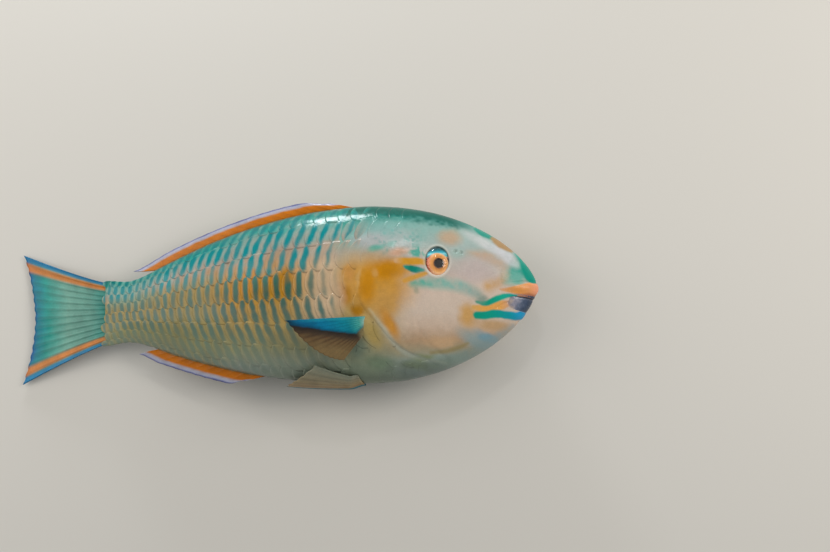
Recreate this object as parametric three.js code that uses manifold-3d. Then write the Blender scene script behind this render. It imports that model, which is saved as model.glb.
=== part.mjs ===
// A parrotfish, life size, lying on its left flank with the right flank up.
// Frame: +X towards the snout, +Y towards the back, +Z up out of the right flank.
// The origin is on the floor, under the middle of the whole fish's box.
// Places on the fish are given as a station (distance behind the snout), a height above
// the body's own axis (y) and a distance out of its mid-plane (side).
import * as THREE from "three";
import Module from "manifold-3d";
import { mergeVertices } from "three/addons/utils/BufferGeometryUtils.js";

const wasm = await Module();
wasm.setup();

// Driving dimensions, millimetres
const GAP = 0.3; // between pieces that touch
const STANDARD_LENGTH = 246; // snout to the end of the tail stalk
const TOTAL_LENGTH = 300; // snout to the tips of the tail fin
const BACK_HEIGHT = 49.5; // highest point of the back above the axis
const BACK_STATION = 95;
const BELLY_DEPTH = 47.5; // lowest point of the belly below the axis
const BELLY_STATION = 87;
const HALF_THICKNESS = 23.5;
const THICKEST_STATION = 100;
const STALK_STATION = 228; // slimmest part of the tail stalk
const STALK_HALF_DEPTH = 16.2;
const STALK_HALF_THICKNESS = 5.2;
const STALK_EASE = 2.5; // how softly the trunk runs into the stalk
const STALK_FLARE = 2.4; // how far the stalk widens again at the tail fin
const STALK_THINNING = 3.6;
const MID_PLANE_HEIGHT = 22.9; // above the floor, where the trunk rests
const REST_STATION = 100; // the middle of the flat where the left flank rests
const BEND_STATION = 112; // behind this the tail sinks towards the floor
const TAIL_TIP_HEIGHT = 1.1;
const TAIL_STATION = 206; // where the trunk becomes the tail stalk

const MEMBRANE = 0.6; // thickness of a fin between its rays
const RAY_RIDGE = 0.8; // how much thicker a soft ray is at its root
const SPINE_RIDGE = 1.1; // the same for a hard spine

const COLOURS = { skin: 0x8fb5ae, fin: 0x2b8fa8, band: 0xe0872e };
const FLOOR_DROP = 10; // how far cutters run below the floor
const CUTTER_HEIGHT = 80;

// Body outline

const clamp01 = (t) => Math.min(1, Math.max(0, t));

function smoothstep(from, to, value) {
  const t = clamp01((value - from) / (to - from));
  return t * t * (3 - 2 * t);
}

// Rises from the snout to its full size at a station, blunt where power is small.
function nose(station, full, power) {
  const left = 1 - clamp01(station / full);
  return Math.pow(1 - left * left, power);
}

// Falls from its full size to the stalk's, and levels out softly over a few millimetres.
function tail(station, size, full, stalk, power) {
  const t = (station - full) / (STALK_STATION - full);
  const above = (size - stalk) * (1 - Math.pow(t, power));
  const flare = STALK_FLARE * smoothstep(STALK_STATION, STANDARD_LENGTH, station);
  return stalk + STALK_EASE * Math.log1p(Math.exp(above / STALK_EASE)) + flare;
}

const backHeight = (s) =>
  s < BACK_STATION
    ? BACK_HEIGHT * nose(s, BACK_STATION, 0.63)
    : tail(s, BACK_HEIGHT, BACK_STATION, STALK_HALF_DEPTH, 1.9);

const bellyDepth = (s) =>
  s < BELLY_STATION
    ? BELLY_DEPTH * nose(s, BELLY_STATION, 0.65)
    : tail(s, BELLY_DEPTH, BELLY_STATION, STALK_HALF_DEPTH, 1.95);

const halfThickness = (s) =>
  s < THICKEST_STATION
    ? HALF_THICKNESS * nose(s, THICKEST_STATION, 0.6)
    : tail(s, HALF_THICKNESS, THICKEST_STATION, STALK_HALF_THICKNESS, 1.6) -
      STALK_THINNING * smoothstep(STALK_STATION - 25, STANDARD_LENGTH, s);

// Height of the mid-plane above the floor: level under the trunk, sinking to the tail's tip.
function midPlane(station) {
  const t = clamp01((station - BEND_STATION) / (TOTAL_LENGTH - BEND_STATION));
  return MID_PLANE_HEIGHT - (MID_PLANE_HEIGHT - TAIL_TIP_HEIGHT) * Math.pow(t, 1.55);
}

const place = (station, y, side) =>
  new THREE.Vector3(REST_STATION - station, y, midPlane(station) + side);

// How far the gill covers stand proud of the trunk.
const GILL_SWELL = 0.9;
const headSwell = (station, y) =>
  GILL_SWELL * smoothstep(42, 80, station) * (1 - smoothstep(12, 26, y));

// A point on the skin at an angle round the body: 0 is the right flank, 90 the back.
// swell moves it outwards, and isHead adds the forms of the head.
function skinPoint(station, angle, swell, isHead) {
  const sine = Math.sin(angle);
  const cosine = Math.cos(angle);
  const tall = sine > 0 ? backHeight(station) : bellyDepth(station);
  const y = tall * Math.sign(sine) * Math.pow(Math.abs(sine), 0.96);
  const side = halfThickness(station) * Math.sign(cosine) * Math.pow(Math.abs(cosine), 1.04);
  const out = swell + (isHead ? headSwell(station, y) : 0);
  return { station, y: y + out * sine, side: side + out * cosine };
}

// The skin's distance from the mid-plane at a station and a height.
function sideAt(station, y) {
  const tall = y > 0 ? backHeight(station) : bellyDepth(station);
  const sine = Math.pow(clamp01(Math.abs(y) / tall), 1 / 0.96);
  return halfThickness(station) * Math.pow(Math.sqrt(1 - sine * sine), 1.04);
}

// A point lifted off the skin of one flank: hand is 1 for the right and -1 for the left.
function onFlank(station, y, hand, lift) {
  const tall = y > 0 ? backHeight(station) : bellyDepth(station);
  const side = sideAt(station, y);
  const normal = new THREE.Vector2(y / (tall * tall), side / halfThickness(station) ** 2);
  normal.normalize().multiplyScalar(lift);
  return place(station, y + normal.x, hand * (side + normal.y));
}

// Solids and meshes

function solid(geometry) {
  const bare = new THREE.BufferGeometry();
  const source = geometry.index ? geometry.toNonIndexed() : geometry;
  bare.setAttribute("position", source.getAttribute("position").clone());
  const merged = mergeVertices(bare, 1e-4);
  return new wasm.Manifold(
    new wasm.Mesh({
      numProp: 3,
      vertProperties: merged.attributes.position.array,
      triVerts: new Uint32Array(merged.index.array),
    }),
  );
}

// The largest closed piece of a solid, so that no scrap of a cut stays.
function largest(made) {
  const pieces = made.decompose();
  return pieces.reduce((best, piece) => (piece.volume() > best.volume() ? piece : best));
}

function meshOf(name, made, colour, roughness) {
  const { vertProperties, triVerts, numProp } = largest(made).getMesh();
  const positions = new Float32Array((vertProperties.length / numProp) * 3);
  for (let i = 0; i < positions.length / 3; i++)
    for (let axis = 0; axis < 3; axis++) positions[3 * i + axis] = vertProperties[numProp * i + axis];
  const geometry = new THREE.BufferGeometry();
  geometry.setAttribute("position", new THREE.BufferAttribute(positions, 3));
  geometry.setIndex(new THREE.BufferAttribute(new Uint32Array(triVerts), 1));
  geometry.computeVertexNormals();
  const material = new THREE.MeshStandardMaterial({ color: colour, roughness, metalness: 0 });
  const mesh = new THREE.Mesh(geometry, material);
  mesh.name = name;
  return mesh;
}

// A closed surface from rings of points, with a fan over each end.
function loft(rings) {
  const around = rings[0].length;
  const middle = (ring) => ring.reduce((sum, p) => sum.add(p), new THREE.Vector3()).divideScalar(around);
  const points = rings.flat();
  points.push(middle(rings[0]), middle(rings[rings.length - 1]));
  const corners = [];
  const front = points.length - 2;
  const last = (rings.length - 1) * around;
  for (let i = 0; i < around; i++) {
    const next = (i + 1) % around;
    corners.push(front, next, i, front + 1, last + i, last + next);
    for (let row = 0; row < last; row += around) {
      corners.push(row + i, row + next, row + around + i);
      corners.push(row + next, row + around + next, row + around + i);
    }
  }
  const geometry = new THREE.BufferGeometry().setFromPoints(points);
  geometry.setIndex(corners);
  return geometry;
}

// The whole body from the snout to the end of the stalk.
function body({ swell = 0, isHead = false, from = 0.6, to = STANDARD_LENGTH, rows = 34, around = 32 }) {
  const rings = [];
  for (let i = 0; i <= rows; i++) {
    const station = from + (to - from) * Math.pow(i / rows, 1.5);
    const ring = [];
    for (let j = 0; j < around; j++) {
      const p = skinPoint(station, (2 * Math.PI * j) / around, swell, isHead);
      const point = place(p.station, p.y, p.side);
      point.z = Math.max(point.z, 0); // the flat that it rests on
      ring.push(point);
    }
    rings.push(ring);
  }
  return solid(loft(rings));
}

// A cutter seen from the side: an outline of [station, y] corners, through or part of the thickness.
function sideCutter(corners, low = -FLOOR_DROP, high = CUTTER_HEIGHT) {
  const points = corners.map(([station, y]) => new THREE.Vector2(REST_STATION - station, y));
  const shape = new THREE.Shape(points);
  const geometry = new THREE.ExtrudeGeometry(shape, { depth: high - low, bevelEnabled: false });
  return solid(geometry.translate(0, 0, low));
}

// The same outline with every edge moved out by a distance.
function grown(corners, by) {
  const turn = THREE.ShapeUtils.area(corners.map(([x, y]) => new THREE.Vector2(x, y))) > 0 ? 1 : -1;
  const normal = ([x0, y0], [x1, y1]) =>
    new THREE.Vector2(y1 - y0, x0 - x1).normalize().multiplyScalar(turn);
  return corners.map((corner, i) => {
    const before = normal(corners.at(i - 1), corner);
    const after = normal(corner, corners[(i + 1) % corners.length]);
    const mitre = before.clone().add(after).multiplyScalar(by / (1 + before.dot(after)));
    return [corner[0] + mitre.x, corner[1] + mitre.y];
  });
}

// A smooth line of [station, y] through a few knots.
function smoothLine(knots, steps, shift = 0) {
  const curve = new THREE.SplineCurve(knots.map(([s, y]) => new THREE.Vector2(s + shift, y)));
  return curve.getPoints(steps).map((p) => [p.x, p.y]);
}

// Head

// The rear edge of the head: over the nape, round the gill cover and forward to the throat.
const GILL_EDGE = [
  [77, 62],
  [78, 42],
  [80, 28],
  [87, 20],
  [93, 11],
  [94.5, 2],
  [91.5, -7],
  [85.5, -15],
  [77, -26],
  [68, -33],
  [56, -38],
  [45, -44],
  [37, -54],
];
const CHEEK_EDGE = [
  [73, 20],
  [66.5, 14],
  [64, 2],
  [64, -14],
  [59, -27],
  [50, -36],
  [45, -42],
];
const COVER_TOP = 22;
const COVER_FOOT = -41;
const GILL_COVER_DEPTH = 7; // from the mid-plane to the inside of a gill cover

const EYE = { station: 51.2, y: 14.3, wide: 6.9, tall: 8.8, deep: 3.6, proud: 2.1 };
const ORBIT = { rim: 0.17, sink: 0.2 };
const NOSTRILS = [
  { station: 38.5, y: 18.5, radius: 0.8 },
  { station: 41.5, y: 19.3, radius: 1.0 },
];

// The gape, seen from the side: the mouth's corner is behind both beak plates.
const GAPE = { corner: 15, upperEdge: -4.3, line: -6.1, lowerEdge: -13, parting: 0.5 };
const UPPER_LIP = { y: -1.9, tall: 2.9, thick: 1.5, reach: 19 };
const LOWER_LIP = { y: -14.4, tall: 1.7, thick: 1.3, reach: 17 };

function headZone(shift) {
  const edge = smoothLine(GILL_EDGE, 30, shift);
  return [[-20, -60], [-20, 70], ...edge];
}

function gillCoverZone() {
  const front = smoothLine(CHEEK_EDGE, 10);
  const rear = smoothLine(GILL_EDGE, 30, 5).filter(([, y]) => y < COVER_TOP && y > COVER_FOOT);
  return [...front.reverse(), [78, COVER_TOP + 1], ...rear];
}

// Which way is out of the skin at the eye, for either flank.
function eyeFrame(hand) {
  const reach = 4;
  const at = (station, y) => onFlank(station, y, hand, 0);
  const along = at(EYE.station - reach, EYE.y).sub(at(EYE.station + reach, EYE.y));
  const across = at(EYE.station, EYE.y + reach).sub(at(EYE.station, EYE.y - reach));
  const out = along.cross(across).multiplyScalar(hand).normalize();
  const turn = new THREE.Quaternion().setFromUnitVectors(new THREE.Vector3(0, 0, 1), out);
  return { centre: at(EYE.station, EYE.y), out, turn };
}

function eyeball(hand, grow) {
  const { centre, out, turn } = eyeFrame(hand);
  const ball = new THREE.SphereGeometry(1, 20, 12);
  ball.scale(EYE.wide + grow, EYE.tall + grow, EYE.deep + grow);
  const seat = centre.addScaledVector(out, EYE.proud - EYE.deep);
  const matrix = new THREE.Matrix4().compose(seat, turn, new THREE.Vector3(1, 1, 1));
  return solid(ball.applyMatrix4(matrix));
}

function orbitRim(hand) {
  const { centre, out, turn } = eyeFrame(hand);
  const ring = new THREE.TorusGeometry(1, ORBIT.rim, 8, 28);
  ring.scale(EYE.wide - 0.2, EYE.tall - 0.2, EYE.wide);
  const seat = centre.addScaledVector(out, -ORBIT.sink);
  const matrix = new THREE.Matrix4().compose(seat, turn, new THREE.Vector3(1, 1, 1));
  return solid(ring.applyMatrix4(matrix));
}

function nostril({ station, y, radius }, hand) {
  const pit = new THREE.SphereGeometry(radius, 8, 6);
  const seat = onFlank(station, y, hand, 0.1);
  return solid(pit.translate(seat.x, seat.y, seat.z));
}

// The gape, and the half of it above or below the line where the two plates meet.
const mouthZone = () => [
  [-5, GAPE.upperEdge],
  [GAPE.corner - 4, GAPE.upperEdge + 0.3],
  [GAPE.corner, GAPE.line - 1],
  [GAPE.corner - 2, GAPE.lowerEdge],
  [-5, GAPE.lowerEdge],
];

const band = (low, high) => [[-10, low], [40, low], [40, high], [-10, high]];

// A lip: a band of oval section round the front of the snout at one height.
function lip({ y, tall, thick, reach }) {
  const steps = 26;
  const sides = 12;
  const edge = y > 0 ? backHeight : bellyDepth;
  let front = 0.1;
  while (edge(front) < Math.abs(y) + 0.05) front += 0.05;
  const spine = (t) => {
    const station = front + (reach - front) * t * t;
    return place(station, y, Math.sign(t) * sideAt(station, y));
  };
  const rings = [];
  for (let i = 0; i <= steps; i++) {
    const t = (2 * i) / steps - 1;
    const along = spine(Math.min(1, t + 0.04)).sub(spine(Math.max(-1, t - 0.04)));
    const out = along.cross(new THREE.Vector3(0, 1, 0)).negate().normalize();
    const slim = Math.sqrt(1.03 - Math.abs(t) ** 3);
    const ring = [];
    for (let j = 0; j < sides; j++) {
      const angle = (2 * Math.PI * j) / sides;
      const point = spine(t).addScaledVector(out, slim * thick * Math.cos(angle));
      point.y += slim * tall * Math.sin(angle);
      ring.push(point);
    }
    rings.push(ring);
  }
  return solid(outwards(loft(rings)));
}

function headParts() {
  const whole = body({ isHead: true, rows: 48, to: 150, around: 48 });
  let head = whole.intersect(sideCutter(headZone(0))).add(lip(UPPER_LIP)).add(lip(LOWER_LIP));
  const covers = {};
  for (const [name, hand] of [["right", 1], ["left", -1]]) {
    const level = MID_PLANE_HEIGHT + hand * GILL_COVER_DEPTH;
    const range = (gap) =>
      hand > 0 ? [level - gap, CUTTER_HEIGHT] : [-FLOOR_DROP, level + gap];
    covers[name] = head.intersect(sideCutter(gillCoverZone(), ...range(0)));
    head = head.subtract(sideCutter(grown(gillCoverZone(), GAP), ...range(GAP)));
  }
  head = head.subtract(sideCutter(grown(mouthZone(), GAP)));
  for (const hand of [1, -1]) {
    head = head.add(orbitRim(hand)).subtract(eyeball(hand, GAP));
    for (const pit of NOSTRILS) head = head.subtract(nostril(pit, hand));
  }
  const snout = body({ swell: -0.5, rows: 20, to: 40, around: 40 });
  const beak = snout.intersect(sideCutter(mouthZone()));
  const upperBeak = beak.intersect(sideCutter(band(GAPE.line, 20)));
  const lowerBeak = beak.intersect(sideCutter(band(-20, GAPE.line - GAPE.parting)));
  return [
    meshOf("head", head, COLOURS.skin, 0.35),
    meshOf("gill_cover_right", covers.right, COLOURS.skin, 0.35),
    meshOf("gill_cover_left", covers.left, COLOURS.skin, 0.35),
    meshOf("upper_beak", upperBeak, 0xd9c4b4, 0.3),
    meshOf("lower_beak", lowerBeak, 0x7388a0, 0.3),
    meshOf("eye_right", eyeball(1, 0), 0xe8954a, 0.1),
    meshOf("eye_left", eyeball(-1, 0), 0xe8954a, 0.1),
  ];
}

// Trunk and tail stalk

function trunkParts() {
  const whole = body({ rows: 40 });
  const behindHead = whole.subtract(sideCutter(headZone(GAP + 0.1)));
  const front = [[-20, -60], [-20, 70], [TAIL_STATION, 70], [TAIL_STATION, -60]];
  const rear = [[TAIL_STATION + GAP, -60], [TAIL_STATION + GAP, 70], [320, 70], [320, -60]];
  const trunk = behindHead.intersect(sideCutter(front));
  return [
    meshOf("trunk", trunk, COLOURS.skin, 0.35),
    meshOf("tail_stalk", whole.intersect(sideCutter(rear)), COLOURS.skin, 0.35),
  ];
}

// Fins

// A thin closed sheet. point(a, b) gives the middle of the fin: a runs from the first ray
// to the last and b out along a ray. Rays are ridges on both faces, and the edge is
// drawn in a little between them. root(a, b) adds the flesh at the foot of the tail fin,
// whose end stands upright against the stalk.
function finSheet({ rays, spines = 0, steps, point, ridge = RAY_RIDGE, web = 0.03, root }) {
  const columns = 2 * (rays - 1);
  const grid = [];
  for (let i = 0; i <= columns; i++) {
    const reach = i % 2 === 0 ? 1 : 1 - web;
    const line = [];
    for (let j = 0; j <= steps; j++) line.push(point(i / columns, (j / steps) * reach));
    grid.push(line);
  }
  const near = (i, j) => grid[Math.min(columns, Math.max(0, i))][Math.min(steps, Math.max(0, j))];
  const faces = [[], []];
  for (let i = 0; i <= columns; i++)
    for (let j = 0; j <= steps; j++) {
      const across = near(i + 1, j).clone().sub(near(i - 1, j));
      const along = near(i, j + 1).clone().sub(near(i, j - 1));
      const normal = across.cross(along).normalize();
      if (root && j === 0) normal.set(0, 0, Math.sign(normal.z));
      const rise = i / 2 < spines ? SPINE_RIDGE : ridge;
      const ray = i % 2 === 0 ? rise * (1 - 0.75 * (j / steps)) : 0;
      const thick = MEMBRANE + ray + (root ? root(i / columns, j / steps) : 0);
      for (const side of [0, 1]) {
        const corner = grid[i][j].clone().addScaledVector(normal, (0.5 - side) * thick);
        corner.z = Math.max(corner.z, 0.2 * MEMBRANE * (1 - side)); // pressed flat on the floor
        faces[side].push(corner);
      }
    }
  return solid(closedSheet(faces, columns, steps));
}

function closedSheet(faces, columns, steps) {
  const points = [...faces[0], ...faces[1]];
  const other = faces[0].length;
  const at = (i, j) => i * (steps + 1) + j;
  const corners = [];
  for (let i = 0; i < columns; i++)
    for (let j = 0; j < steps; j++) {
      const quad = [at(i, j), at(i + 1, j), at(i + 1, j + 1), at(i, j + 1)];
      const [a, b, c, d] = quad;
      const [e, f, g, h] = quad.map((k) => k + other);
      corners.push(a, b, c, a, c, d, e, g, f, e, h, g);
    }
  const rim = [];
  for (let i = 0; i < columns; i++) rim.push([at(i, 0), at(i + 1, 0)]);
  for (let j = 0; j < steps; j++) rim.push([at(columns, j), at(columns, j + 1)]);
  for (let i = columns; i > 0; i--) rim.push([at(i, steps), at(i - 1, steps)]);
  for (let j = steps; j > 0; j--) rim.push([at(0, j), at(0, j - 1)]);
  for (const [a, b] of rim) corners.push(b, a, a + other, b, a + other, b + other);
  const geometry = new THREE.BufferGeometry().setFromPoints(points);
  geometry.setIndex(corners);
  return outwards(geometry);
}

// Turns every face round if the closed surface is inside out.
function outwards(geometry) {
  const p = geometry.attributes.position;
  const index = geometry.index.array;
  const [a, b, c] = [new THREE.Vector3(), new THREE.Vector3(), new THREE.Vector3()];
  let volume = 0;
  for (let i = 0; i < index.length; i += 3) {
    [a, b, c].forEach((v, k) => v.fromBufferAttribute(p, index[i + k]));
    volume += a.dot(b.clone().cross(c));
  }
  if (volume < 0)
    for (let i = 0; i < index.length; i += 3) [index[i + 1], index[i + 2]] = [index[i + 2], index[i + 1]];
  return geometry;
}

// Dorsal and anal fins lie folded back along the body's edge.
const DORSAL = { from: 97, to: 214, rays: 19, spines: 9, height: 6.8, rake: 15, droop: 1.2 };
const ANAL = { from: 150, to: 213, rays: 12, spines: 3, height: 7.6, rake: 13, droop: 1.4 };

function edgeFin({ from, to, rays, spines, height, rake, droop }, upper) {
  const edge = upper ? backHeight : bellyDepth;
  const sign = upper ? 1 : -1;
  const point = (a, b) => {
    const root = from + (to - from) * a;
    const tall = height * (0.55 + 0.45 * smoothstep(0, 0.16, a)) * (1 - 0.25 * smoothstep(0.8, 1, a));
    const station = root + rake * b;
    const y = edge(station) + GAP + tall * b;
    return place(station, sign * y, -droop * b * b);
  };
  return finSheet({ rays, spines, steps: 4, point, web: 0.05 });
}

const TAIL_FIN = { rays: 15, rootHalf: 17.4, tipHalf: 38, fork: 8, ripple: 0.8, foot: 0.22 };

function tailFin() {
  const { rays, rootHalf, tipHalf, fork, ripple, foot } = TAIL_FIN;
  const start = STANDARD_LENGTH + GAP;
  const point = (a, b) => {
    const v = 2 * a - 1;
    const reach = TOTAL_LENGTH - fork * (1 - Math.pow(Math.abs(v), 1.6));
    const station = start + (reach - start) * b;
    const y = v * (rootHalf + (tipHalf - rootHalf) * Math.pow(b, 1.15));
    const wave = ripple * b * (1 + Math.sin(5 * v + 1)) * 0.5;
    return place(station, y, wave);
  };
  const root = (a, b) => {
    const flesh = 2 * sideAt(STANDARD_LENGTH, (2 * a - 1) * rootHalf) - MEMBRANE;
    return Math.max(0, flesh - 1) * (1 - smoothstep(0, foot, b));
  };
  return finSheet({ rays, steps: 7, point, web: 0.025, ridge: 1, root });
}

// The paired fins spring from the flanks and the belly and lie back along the skin.
const PECTORAL = { station: 90, length: 41, rays: 13 };
const SPREAD = { top: -13.2, bottom: -22.5, upAngle: -1, downAngle: 48, lift: 9, ridge: RAY_RIDGE };
const FOLDED = { top: -18.5, bottom: -26, upAngle: 3, downAngle: 24, lift: 1.2, ridge: 0.3 };
const PELVIC = { station: 95, length: 43, rays: 6, from: -84, to: -64, spread: 16 };
const FOOT = 1; // how far out of the skin the middle of a paired fin starts

function pectoralFin(hand) {
  const { station, length, rays } = PECTORAL;
  const { top, bottom, upAngle, downAngle, lift, ridge } = hand > 0 ? SPREAD : FOLDED;
  const foot = hand > 0 ? FOOT : GAP + (MEMBRANE + ridge) / 2;
  const point = (a, b) => {
    const slant = THREE.MathUtils.degToRad(upAngle + (downAngle - upAngle) * Math.pow(a, 1.15));
    const ray = length * (1 - 0.6 * Math.pow(a, 0.95)) * b;
    const s = station + 1.5 * a + ray * Math.cos(slant);
    const y = top + (bottom - top) * a - ray * Math.sin(slant) * (1 - 0.1 * b);
    const off = foot + lift * (1 - 0.55 * a) * (0.25 * smoothstep(0, 0.2, b) + 0.75 * b);
    return onFlank(s, y, hand, off);
  };
  return finSheet({ rays, spines: 1, steps: 6, point, ridge });
}

function pelvicFin(hand) {
  const { station, length, rays, from, to, spread } = PELVIC;
  const point = (a, b) => {
    const ray = length * (1 - 0.35 * a) * b;
    const s = station + 2 * a + ray;
    const angle = THREE.MathUtils.degToRad(from + (to - from) * a + spread * a * b);
    const p = skinPoint(s, angle, FOOT + 1.4 * smoothstep(0, 0.2, b) + 1.6 * b, false);
    return place(p.station, p.y, hand * p.side);
  };
  return finSheet({ rays, spines: 1, steps: 6, point });
}

const fish = new THREE.Group();
fish.name = "parrotfish";
fish.add(...headParts(), ...trunkParts());
fish.add(
  meshOf("dorsal_fin", edgeFin(DORSAL, true), COLOURS.band, 0.4),
  meshOf("anal_fin", edgeFin(ANAL, false), COLOURS.band, 0.4),
  meshOf("tail_fin", tailFin(), COLOURS.fin, 0.4),
  meshOf("pectoral_fin_right", pectoralFin(1), COLOURS.fin, 0.4),
  meshOf("pectoral_fin_left", pectoralFin(-1), COLOURS.fin, 0.4),
  meshOf("pelvic_fin_right", pelvicFin(1), COLOURS.band, 0.4),
  meshOf("pelvic_fin_left", pelvicFin(-1), COLOURS.band, 0.4),
);

// Bring the origin under the middle of the box.
const bounds = new THREE.Box3().setFromObject(fish);
const middle = bounds.getCenter(new THREE.Vector3());
fish.position.set(-middle.x, -middle.y, -bounds.min.z);

export default fish;
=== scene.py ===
import math

import bmesh
import bpy
import numpy as np
from mathutils import Matrix, Vector


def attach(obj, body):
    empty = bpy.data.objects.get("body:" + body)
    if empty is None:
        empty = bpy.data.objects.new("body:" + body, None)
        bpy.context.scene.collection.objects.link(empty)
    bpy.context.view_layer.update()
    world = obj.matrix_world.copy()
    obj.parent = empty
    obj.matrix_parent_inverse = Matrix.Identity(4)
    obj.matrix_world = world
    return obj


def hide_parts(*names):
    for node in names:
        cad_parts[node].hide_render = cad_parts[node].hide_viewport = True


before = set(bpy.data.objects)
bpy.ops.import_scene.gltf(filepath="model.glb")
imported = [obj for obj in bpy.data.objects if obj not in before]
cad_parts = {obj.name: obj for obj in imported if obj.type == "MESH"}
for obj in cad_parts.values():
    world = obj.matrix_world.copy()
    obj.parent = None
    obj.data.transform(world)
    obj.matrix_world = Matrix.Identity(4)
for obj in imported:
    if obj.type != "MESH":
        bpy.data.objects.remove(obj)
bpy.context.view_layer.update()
rng = np.random.default_rng(41)

# Places on the fish are in millimetres: a station (distance behind the snout), a height y above
# the body's axis and a distance side out of its mid-plane. They become metres in toFrame.
fish = {
    "length": 300, "stalkStation": 228, "stalkEnd": 246,
    "upPower": 0.96, "outPower": 1.04,  # of the section; an ellipse has 1 and 1
    "softness": 2.5, "flare": 2.4,  # how softly the body meets the stalk, and how far the stalk's end widens
    "thinning": 3.6, "closing": 0.68,  # the stalk's end gets thinner, then closes on the tail fin
    "midPlane": 22.9, "bendStation": 112, "bendPower": 1.55, "tipHeight": 1.1,
    "snoutX": 149.45, "axisY": -2.0,  # where the snout and the axis lie in the frame
}
sides = (("right", 1), ("left", -1))
# Each profile's full size, the station of that, its size at the stalk, and the powers of its nose (smaller
# is blunter) and tail (larger stays wide for longer).
profiles = {"back": (49.5, 95, 16.2, 0.63, 1.9), "belly": (47.5, 87, 16.2, 0.65, 1.95),
            "side": (23.5, 100, 5.2, 0.6, 1.6)}


def clamp01(t):
    return np.clip(t, 0, 1)


def ease(low, high, value):
    t = clamp01((value - low) / (high - low))
    return t * t * (3 - 2 * t)


def fall(low, high, value):
    return 1 - ease(low, high, value)


def runningSum(steps):
    return np.concatenate([[0], np.cumsum(steps)])


def bump(value, width, power=2):
    return np.exp(-np.abs(value / width) ** power)


def profile(s, which):
    size, full, stalk, nosePower, tailPower = profiles[which]
    front = size * (1 - (1 - clamp01(s / full)) ** 2) ** nosePower
    t = np.maximum((s - full) / (fish["stalkStation"] - full), 0)
    above = (size - stalk) * (1 - t ** tailPower)
    soft = fish["softness"]
    flare = fish["flare"] * ease(fish["stalkStation"], fish["stalkEnd"], s)
    rear = stalk + soft * np.log1p(np.exp(np.clip(above / soft, -40, 40))) + flare
    return np.where(s < full, front, rear)


def backHeight(s):
    return profile(s, "back")


def bellyDepth(s):
    return profile(s, "belly")


def halfThickness(s):
    thin = profile(s, "side") - fish["thinning"] * ease(fish["stalkStation"] - 25, fish["stalkEnd"], s)
    return thin * (1 - fish["closing"] * ease(fish["stalkEnd"] - 13, fish["stalkEnd"] + 2, s))


def midPlane(s):
    t = clamp01((s - fish["bendStation"]) / (fish["length"] - fish["bendStation"]))
    return fish["midPlane"] - (fish["midPlane"] - fish["tipHeight"]) * t ** fish["bendPower"]


def toFrame(s, y, side):
    x = fish["snoutX"] - s
    return np.stack([x + 0 * y, y + fish["axisY"] + 0 * s, midPlane(s) + side], -1) / 1000


# A point of the section at a station: angle 0 is the right flank, a quarter turn is the back.
def ringPoint(s, angle):
    sine, cosine = np.sin(angle), np.cos(angle)
    tall = np.where(sine > 0, backHeight(s), bellyDepth(s))
    y = tall * np.sign(sine) * np.abs(sine) ** fish["upPower"]
    side = halfThickness(s) * np.sign(cosine) * np.abs(cosine) ** fish["outPower"]
    return y, side


def sideAt(s, y):
    tall = np.where(y > 0, backHeight(s), bellyDepth(s))
    sine = clamp01(np.abs(y) / np.maximum(tall, 1e-6)) ** (1 / fish["upPower"])
    return halfThickness(s) * np.sqrt(1 - sine * sine) ** fish["outPower"]


# Which way is out of the skin at a height and side, as shares of y and of side.
def outward(s, y, side):
    tall = np.maximum(np.where(y > 0, backHeight(s), bellyDepth(s)), 1e-6)
    up, out = y / tall ** 2, side / np.maximum(halfThickness(s), 1e-6) ** 2
    size = np.maximum(np.hypot(up, out), 1e-9)
    return up / size, out / size


def onFlank(s, y, hand, lift):
    s, y = np.asarray(s, float), np.asarray(y, float)
    side = sideAt(s, y)
    up, out = outward(s, y, side)
    return toFrame(s, y + lift * up, hand * (side + lift * out))


# Even steps of girth round a typical section, as angles; flatness is its height over its thickness.
flatness = 2.4
sweep = np.linspace(0, math.pi / 2, 400)
girth = runningSum(np.hypot(np.diff(np.sin(sweep)), np.diff(np.cos(sweep)) / flatness))
quarterGirth = girth[-1]


# The angle for an arc of girth from the right flank's middle; past a quarter it is on the left.
def girthAngle(arc):
    past = np.abs(arc) > quarterGirth
    angle = np.interp(np.where(past, 2 * quarterGirth - np.abs(arc), np.abs(arc)), girth, sweep)
    return np.sign(arc) * np.where(past, math.pi - angle, angle)


# Soft random variation from a seeded lattice, so that it is the same on skin and scales.
latticeSize = 32
lattice = rng.random((latticeSize,) * 3)


def mottle(points, size, octaves=2):
    total, weight, span = 0.0, 0.0, 1.0
    for octave in range(octaves):
        q = np.asarray(points) / size * 2 ** octave + 17.3 * octave
        low = np.floor(q).astype(int)
        f = q - low
        f = f * f * (3 - 2 * f)
        value = 0.0
        for corner in np.ndindex(2, 2, 2):
            near = (low + corner) % latticeSize
            share = np.prod(np.where(np.array(corner) == 1, f, 1 - f), -1)
            value = value + share * lattice[near[..., 0], near[..., 1], near[..., 2]]
        total, weight, span = total + span * value, weight + span, span / 2
    return total / weight


def linear(code):
    values = [int(code[i:i + 2], 16) / 255 for i in (1, 3, 5)]
    return np.array([v / 12.92 if v <= 0.04045 else ((v + 0.055) / 1.055) ** 2.4 for v in values])


def stopColour(value, stops):
    places, codes = zip(*stops)
    return np.stack([np.interp(value, places, part) for part in zip(*map(linear, codes))], -1)


def blend(colours, other, share):
    other = linear(other) if isinstance(other, str) else other
    return colours + (other - colours) * np.asarray(share)[..., None]


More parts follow.
